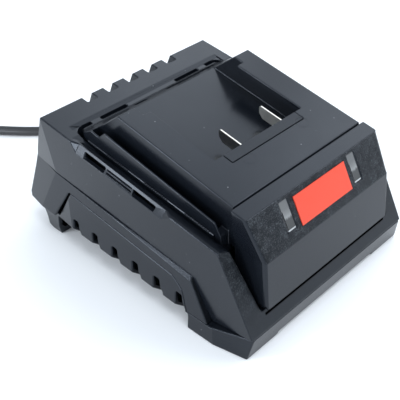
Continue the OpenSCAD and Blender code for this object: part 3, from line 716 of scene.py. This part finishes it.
# thin rail with fine ribs at the foot of each side lip, in millimetres
shoulderLook = {"height": 68.96, "slope": 0.176}
deckLook = {"height": 90.53, "slope": 0.2345}
railLook = {
    "inner": 55.5,
    "outer": 56.6,
    "rise": 0.25,
    "deep": 3.0,
    "back": 33.0,
    "front": -58.0,
    "cut": 0.35,
    "round": 0.06,
    "segments": 2,
    "ribRuns": [17.6, -10.9, -39.4],
    "ribCount": 12,
    "pitch": 1.4,
    "rib": (1.2, 0.7, 0.6),
    "ribAt": 56.5,
    "lean": 45,
}


def heightAt(look, y):
    return look["height"] + look["slope"] * y


def ribTree(name):  # a straight run of small blocks
    tree = bpy.data.node_groups.new(name, "GeometryNodeTree")
    kinds = {
        "Start": "Vector", "Step": "Vector", "Count": "Int",
        "Size": "Vector", "Turn": "Vector", "Finish": "Material",
    }
    for label, kind in kinds.items():
        tree.interface.new_socket(name=label, in_out="INPUT", socket_type="NodeSocket" + kind)
    tree.interface.new_socket(name="Geometry", in_out="OUTPUT", socket_type="NodeSocketGeometry")
    given = addNode(tree, "NodeGroupInput")
    line = addNode(tree, "GeometryNodeMeshLine", mode="OFFSET")
    block = addNode(tree, "GeometryNodeMeshCube")
    place = addNode(tree, "GeometryNodeInstanceOnPoints")
    real = addNode(tree, "GeometryNodeRealizeInstances")
    finish = addNode(tree, "GeometryNodeSetMaterial")
    result = addNode(tree, "NodeGroupOutput")
    links = [
        (given, "Start", line, "Start Location"),
        (given, "Step", line, "Offset"),
        (given, "Count", line, "Count"),
        (given, "Size", block, "Size"),
        (given, "Finish", finish, "Material"),
        (given, "Turn", place, "Rotation"),
        (line, "Mesh", place, "Points"),
        (block, "Mesh", place, "Instance"),
        (place, "Instances", real, "Geometry"),
        (real, "Geometry", finish, "Geometry"),
        (finish, "Geometry", result, "Geometry"),
    ]
    for source, out, target, into in links:
        tree.links.new(source.outputs[out], target.inputs[into])
    return tree


def runNodes(tree, values):  # evaluates the tree once and gives a plain mesh
    holder = linked("holder", bpy.data.meshes.new("holder"))
    work = holder.modifiers.new("work", "NODES")
    work.node_group = tree
    for item in tree.interface.items_tree:
        if item.in_out == "INPUT":
            work[item.identifier] = values[item.name]
    graph = bpy.context.evaluated_depsgraph_get()
    mesh = bpy.data.meshes.new_from_object(holder.evaluated_get(graph))
    holder.modifiers.remove(work)
    bpy.data.objects.remove(holder)
    return mesh


def addPiece(name, bm, finish):
    bmesh.ops.recalc_face_normals(bm, faces=bm.faces)
    mesh = bpy.data.meshes.new(name)
    bm.to_mesh(mesh)
    bm.free()
    mesh.materials.append(materials[finish])
    piece = linked(name, mesh)
    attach(piece, "root")
    return piece


def railBar(bm, look, side):  # five-sided bar whose upper outer edge is cut off
    corners = []
    for y in (look["back"], look["front"]):
        top = heightAt(shoulderLook, y) + look["rise"]
        outline = [
            (look["inner"], top),
            (look["outer"] - look["cut"], top),
            (look["outer"], top - look["cut"]),
            (look["outer"], top - look["deep"]),
            (look["inner"], top - look["deep"]),
        ]
        for x, z in outline:
            corners.append(bm.verts.new((side * x * mm, y * mm, z * mm)))
    count = len(corners) // 2
    for k in range(count):
        n = (k + 1) % count
        bm.faces.new((corners[k], corners[n], corners[count + n], corners[count + k]))
    bm.faces.new(corners[:count])
    bm.faces.new(corners[count:])


def makeRails(look):
    bm = bmesh.new()
    tree = ribTree("rimRibs")
    for side in (-1, 1):
        railBar(bm, look, side)
        middle = side * look["ribAt"]
        for start in look["ribRuns"]:
            top = heightAt(shoulderLook, start) + look["rise"]
            bm.from_mesh(runNodes(tree, {
                "Start": (middle * mm, start * mm, top * mm),
                "Step": (0.0, -look["pitch"] * mm, -look["pitch"] * shoulderLook["slope"] * mm),
                "Count": look["ribCount"],
                "Size": [c * mm for c in look["rib"]],
                "Turn": (0.0, side * math.radians(look["lean"]), 0.0),
                "Finish": materials["dock"],
            }))
    rails = addPiece("rim_rails", bm, "dock")
    soft = rails.modifiers.new("edges", "BEVEL")
    soft.width = look["round"] * mm
    soft.segments = look["segments"]
    soft.harden_normals = True


makeRails(railLook)

# faint rings that the ejector pins leave on the deck
pinLook = {"centres": [(-19.1, -47.9), (24.5, -46.5)], "radius": 3.7, "wire": 0.1, "around": 40, "sides": 6}


def makePinMarks(look):
    bm = bmesh.new()
    run = math.hypot(1, deckLook["slope"])
    along = Vector((0, 1 / run, deckLook["slope"] / run))
    across = Vector((1, 0, 0))
    out = across.cross(along)
    for x, y in look["centres"]:
        centre = Vector((x, y, heightAt(deckLook, y)))
        rings = []
        for i in range(look["around"]):
            angle = 2 * math.pi * i / look["around"]
            spoke = across * math.cos(angle) + along * math.sin(angle)
            ring = []
            for k in range(look["sides"]):
                turn = 2 * math.pi * k / look["sides"]
                offset = spoke * math.cos(turn) + out * math.sin(turn)
                ring.append(bm.verts.new((centre + spoke * look["radius"] + offset * look["wire"]) * mm))
            rings.append(ring)
        for i, ring in enumerate(rings):
            after = rings[(i + 1) % look["around"]]
            for k in range(look["sides"]):
                n = (k + 1) % look["sides"]
                bm.faces.new((ring[k], ring[n], after[n], after[k]))
    for face in bm.faces:
        face.smooth = True
    addPiece("pin_marks", bm, "dock")


makePinMarks(pinLook)
print("trim done")

# finishes of the solids that are kept
keptLook = {
    "blackPart": [
        "terminal_block", "transformer_rails", "power_devices", "control_chip", "cord_clamp",
    ],
    "blade": ["positive_blade", "negative_blade"],
    "badge": ["badge"],
    "window": ["light_pipe_left", "light_pipe_right"],
    "board": ["indicator_board", "circuit_board"],
    "led": ["status_leds"],
    "redWire": ["output_leads"],
    "greyWire": ["indicator_ribbon"],
    "brownWire": ["mains_leads"],
    "ferrite": ["transformer_core"],
    "winding": ["transformer_winding"],
    "can": ["bulk_capacitor", "output_capacitors"],
    "copper": ["mains_choke"],
    "yellowCase": ["suppression_capacitor"],
    "fuse": ["mains_fuse"],
    "alloy": ["heat_sink"],
    "greenPart": ["mains_terminals"],
    "screw": ["clamp_screws", "board_screws", "housing_screws", "dock_screws"],
    "sheath": ["inner_cord", "strain_relief", "plug_body"],
    "tie": ["cord_tie"],
    "pins": ["plug_pins"],
}


def dressNode(name, finish):
    node = nodes[name]
    for slot in node.material_slots:
        slot.material = materials[finish]
    if not node.material_slots:
        node.data.materials.append(materials[finish])


for finish, names in keptLook.items():
    for name in names:
        dressNode(name, finish)
print("finishes done")
